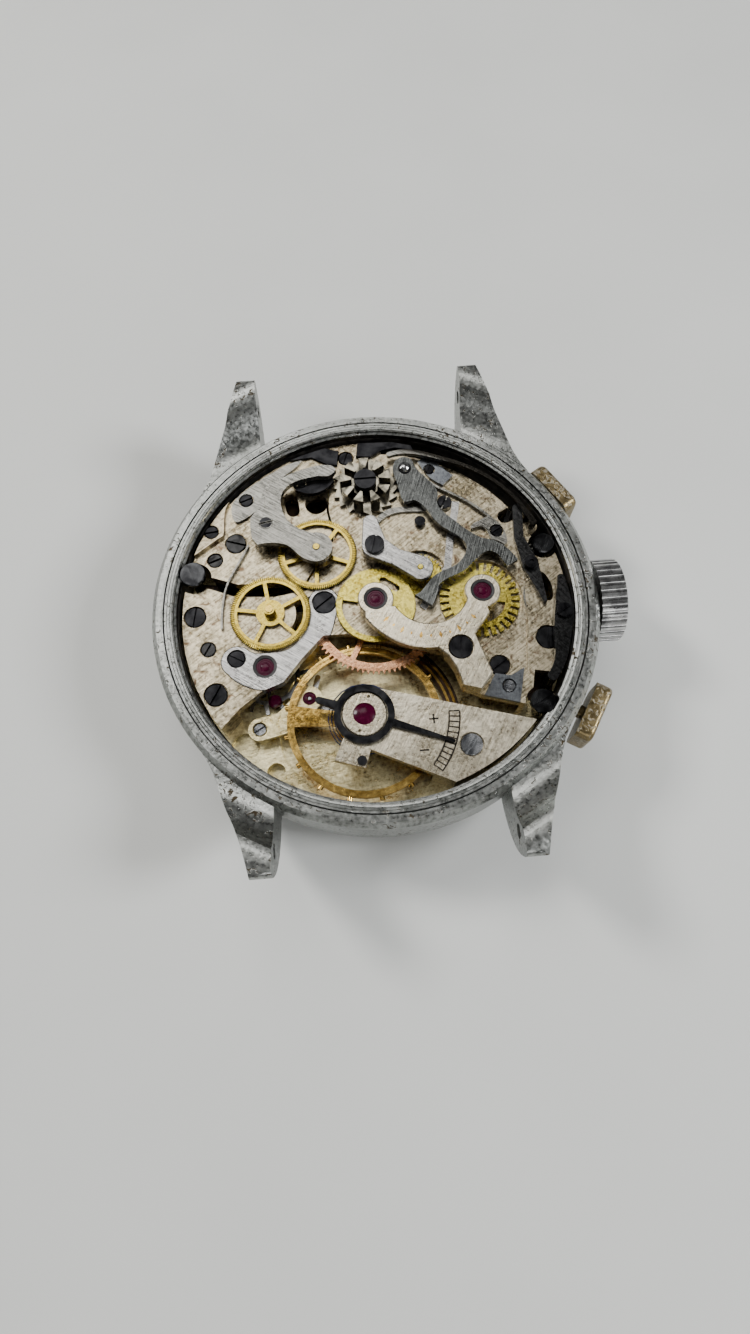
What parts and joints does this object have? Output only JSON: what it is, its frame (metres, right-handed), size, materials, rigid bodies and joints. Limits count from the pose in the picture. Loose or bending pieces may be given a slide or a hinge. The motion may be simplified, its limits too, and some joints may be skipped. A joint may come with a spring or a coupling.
{
  "type": "chronograph wristwatch head",
  "caption": "Round mechanical chronograph wristwatch head with its case back off: lugged case, crown, pushers and an open column-wheel movement.",
  "frame": {"origin": "centre of the crystal's flat outer face, on the movement's axis", "axes": "+Z from the crystal to the open back, +X to the crown, +Y to the lugs at six o'clock"},
  "size_m": [0.0375, 0.0408, 0.011],
  "materials": {
    "steel_case": "worn satin plate",
    "polished_steel": "polished",
    "grained_steel": "straight grained",
    "dark_steel": "dark polished",
    "blued_steel": "blued",
    "screw_steel": "black polished",
    "nickel_plate": "matt nickel plated",
    "gilt_brass": "gilt",
    "plain_brass": "polished",
    "rose_gilt": "rose gilt",
    "ruby": "polished",
    "acrylic": "clear",
    "silver_dial": "satin"
  },
  "bodies": {
    "case": {"case_middle": "steel_case", "bezel": "steel_case", "crystal": "acrylic", "case_tubes": "grained_steel", "dial": "silver_dial", "dial_markers": "gilt_brass", "main_plate": "nickel_plate", "upper_bridge": "nickel_plate", "lower_bridge": "nickel_plate", "train_bridge": "nickel_plate", "barrel_bridge": "nickel_plate", "pallet_bridge": "nickel_plate", "balance_cock": "nickel_plate", "cap_setting": "polished_steel", "chrono_bridge": "nickel_plate", "steel_cover": "blued_steel", "bridge_screws": "screw_steel", "bright_screws": "grained_steel", "case_screws": "screw_steel", "chrono_studs": "grained_steel", "jewels": "ruby", "springs": "dark_steel", "hairspring": "blued_steel"},
    "winding": {"keyless_pinions": "grained_steel"},
    "crown_set": {"crown": "polished_steel", "winding_stem": "grained_steel"},
    "crown_wheel": {"crown_wheel": "grained_steel"},
    "ratchet": {"ratchet_wheel": "grained_steel"},
    "start_pusher": {"start_pusher": "steel_case"},
    "reset_pusher": {"reset_pusher": "steel_case"},
    "operating_lever": {"operating_lever": "dark_steel"},
    "reset_lever": {"reset_lever": "dark_steel"},
    "hammer": {"hammer": "dark_steel"},
    "coupling_lever": {"coupling_lever": "grained_steel"},
    "coupling_wheel": {"coupling_wheel": "plain_brass"},
    "sliding_gear_lever": {"sliding_gear_lever": "grained_steel"},
    "sliding_gear_wheel": {"sliding_gear_wheel": "gilt_brass"},
    "brake_lever": {"brake_lever": "dark_steel"},
    "column_wheel": {"column_wheel": "grained_steel"},
    "chrono_seconds": {"chrono_runner": "gilt_brass", "chrono_hand": "blued_steel"},
    "minute_counter": {"minute_counter": "gilt_brass", "counter_hand": "blued_steel"},
    "fourth": {"fourth_wheel": "gilt_brass", "driving_wheel": "plain_brass", "seconds_hand": "blued_steel"},
    "third": {"third_wheel": "gilt_brass"},
    "center": {"center_wheel": "rose_gilt"},
    "barrel": {"barrel": "gilt_brass"},
    "escape": {"escape_wheel": "grained_steel"},
    "pallet_fork": {"pallet_fork": "grained_steel"},
    "balance": {"balance_wheel": "gilt_brass", "balance_screws": "gilt_brass", "balance_staff": "grained_steel"},
    "cannon": {"cannon_pinion": "grained_steel", "minute_hand": "gilt_brass"},
    "minute_wheel": {"minute_wheel": "plain_brass"},
    "hour": {"hour_wheel": "plain_brass", "hour_hand": "gilt_brass"},
    "regulator": {"regulator": "dark_steel"}
  },
  "joints": [
    {"name": "winding_turn", "type": "hinge", "parent": "case", "child": "winding", "pos_m": [0.01, 0, 0.0054], "axis": [1, 0, 0], "continuous": true},
    {"name": "crown_pull", "type": "slide", "parent": "winding", "child": "crown_set", "axis": [1, 0, 0], "range_m": [0, 0.001]},
    {"name": "crown_wheel_turn", "type": "hinge", "parent": "case", "child": "crown_wheel", "pos_m": [0.0103, 0.0036, 0.0068], "axis": [0, 0, 1], "continuous": true},
    {"name": "ratchet_turn", "type": "hinge", "parent": "case", "child": "ratchet", "pos_m": [0.00408, 0.00453, 0.0068], "axis": [0, 0, 1], "continuous": true},
    {"name": "start_push", "type": "slide", "parent": "case", "child": "start_pusher", "axis": [-0.8499, 0.527, 0], "range_m": [0, 0.00042], "stiffness_N_per_m": 300},
    {"name": "reset_push", "type": "slide", "parent": "case", "child": "reset_pusher", "axis": [-0.8499, -0.527, 0], "range_m": [0, 0.00042], "stiffness_N_per_m": 300},
    {"name": "operating_lever_swing", "type": "hinge", "parent": "case", "child": "operating_lever", "pos_m": [0.0146, -0.00198, 0.0085], "axis": [0, 0, 1], "range_deg": [-5, 0.2]},
    {"name": "reset_lever_swing", "type": "hinge", "parent": "case", "child": "reset_lever", "pos_m": [0.0127, 0.0025, 0.0081], "axis": [0, 0, 1], "range_deg": [-0.2, 6]},
    {"name": "hammer_swing", "type": "hinge", "parent": "case", "child": "hammer", "pos_m": [0.0034, 0.012, 0.0085], "axis": [0, 0, 1], "range_deg": [-4, 0]},
    {"name": "coupling_lever_swing", "type": "hinge", "parent": "case", "child": "coupling_lever", "pos_m": [-0.00835, 0, 0.009], "axis": [0, 0, 1], "range_deg": [-0.9, 1.5]},
    {"name": "coupling_wheel_turn", "type": "hinge", "parent": "coupling_lever", "child": "coupling_wheel", "pos_m": [-0.00436, 0.00492, 0.0081], "axis": [0, 0, 1], "continuous": true},
    {"name": "sliding_gear_swing", "type": "hinge", "parent": "case", "child": "sliding_gear_lever", "pos_m": [0.00028, 0.00464, 0.009], "axis": [0, 0, 1], "range_deg": [-1.5, 1.5]},
    {"name": "sliding_gear_turn", "type": "hinge", "parent": "sliding_gear_lever", "child": "sliding_gear_wheel", "pos_m": [0.00375, 0.00245, 0.0077], "axis": [0, 0, 1], "continuous": true},
    {"name": "brake_swing", "type": "hinge", "parent": "case", "child": "brake_lever", "pos_m": [-0.0053, 0.0112, 0.0085], "axis": [0, 0, 1], "range_deg": [-2, 2]},
    {"name": "column_wheel_turn", "type": "hinge", "parent": "case", "child": "column_wheel", "pos_m": [0, 0.0108, 0.0081], "axis": [0, 0, 1], "continuous": true},
    {"name": "chrono_seconds_turn", "type": "hinge", "parent": "case", "child": "chrono_seconds", "pos_m": [0, 0, 0.0081], "axis": [0, 0, 1], "continuous": true},
    {"name": "minute_counter_turn", "type": "hinge", "parent": "case", "child": "minute_counter", "pos_m": [0.00835, 0, 0.0077], "axis": [0, 0, 1], "continuous": true},
    {"name": "fourth_turn", "type": "hinge", "parent": "case", "child": "fourth", "pos_m": [-0.00835, 0, 0.0062], "axis": [0, 0, 1], "continuous": true},
    {"name": "third_turn", "type": "hinge", "parent": "case", "child": "third", "pos_m": [-0.005, 0.0033, 0.0055], "axis": [0, 0, 1], "continuous": true},
    {"name": "center_turn", "type": "hinge", "parent": "case", "child": "center", "pos_m": [0, 0, 0.0065], "axis": [0, 0, 1], "continuous": true},
    {"name": "barrel_turn", "type": "hinge", "parent": "case", "child": "barrel", "pos_m": [0.00408, 0.00453, 0.006], "axis": [0, 0, 1], "continuous": true},
    {"name": "escape_turn", "type": "hinge", "parent": "case", "child": "escape", "pos_m": [-0.00895, -0.00435, 0.0057], "axis": [0, 0, 1], "continuous": true},
    {"name": "pallet_fork_swing", "type": "hinge", "parent": "case", "child": "pallet_fork", "pos_m": [-0.00575, -0.00675, 0.0057], "axis": [0, 0, 1], "range_deg": [-5, 5]},
    {"name": "balance_swing", "type": "hinge", "parent": "case", "child": "balance", "pos_m": [-0.00157, -0.00897, 0.007], "axis": [0, 0, 1], "range_deg": [-270, 270]},
    {"name": "cannon_turn", "type": "hinge", "parent": "case", "child": "cannon", "pos_m": [0, 0, 0.0042], "axis": [0, 0, 1], "continuous": true},
    {"name": "minute_wheel_turn", "type": "hinge", "parent": "case", "child": "minute_wheel", "pos_m": [0.0026, -0.0015, 0.0043], "axis": [0, 0, 1], "continuous": true},
    {"name": "hour_turn", "type": "hinge", "parent": "case", "child": "hour", "pos_m": [0, 0, 0.0038], "axis": [0, 0, 1], "continuous": true},
    {"name": "regulator_turn", "type": "hinge", "parent": "case", "child": "regulator", "pos_m": [-0.00157, -0.00897, 0.0085], "axis": [0, 0, 1], "range_deg": [-12, 12]}
  ],
  "couplings": [
    {"joint": "crown_wheel_turn", "follows": "winding_turn", "ratio": 0.24},
    {"joint": "ratchet_turn", "follows": "winding_turn", "ratio": -0.25},
    {"joint": "operating_lever_swing", "follows": "start_push", "rad_per_m": -189.04},
    {"joint": "reset_lever_swing", "follows": "reset_push", "rad_per_m": 219.25},
    {"joint": "coupling_wheel_turn", "follows": "fourth_turn", "ratio": -1},
    {"joint": "third_turn", "follows": "fourth_turn", "ratio": -0.13333},
    {"joint": "center_turn", "follows": "fourth_turn", "ratio": 0.016667},
    {"joint": "barrel_turn", "follows": "fourth_turn", "ratio": -0.0027778},
    {"joint": "escape_turn", "follows": "fourth_turn", "ratio": -10},
    {"joint": "minute_wheel_turn", "follows": "cannon_turn", "ratio": -0.33333},
    {"joint": "hour_turn", "follows": "cannon_turn", "ratio": 0.083333}
  ]
}
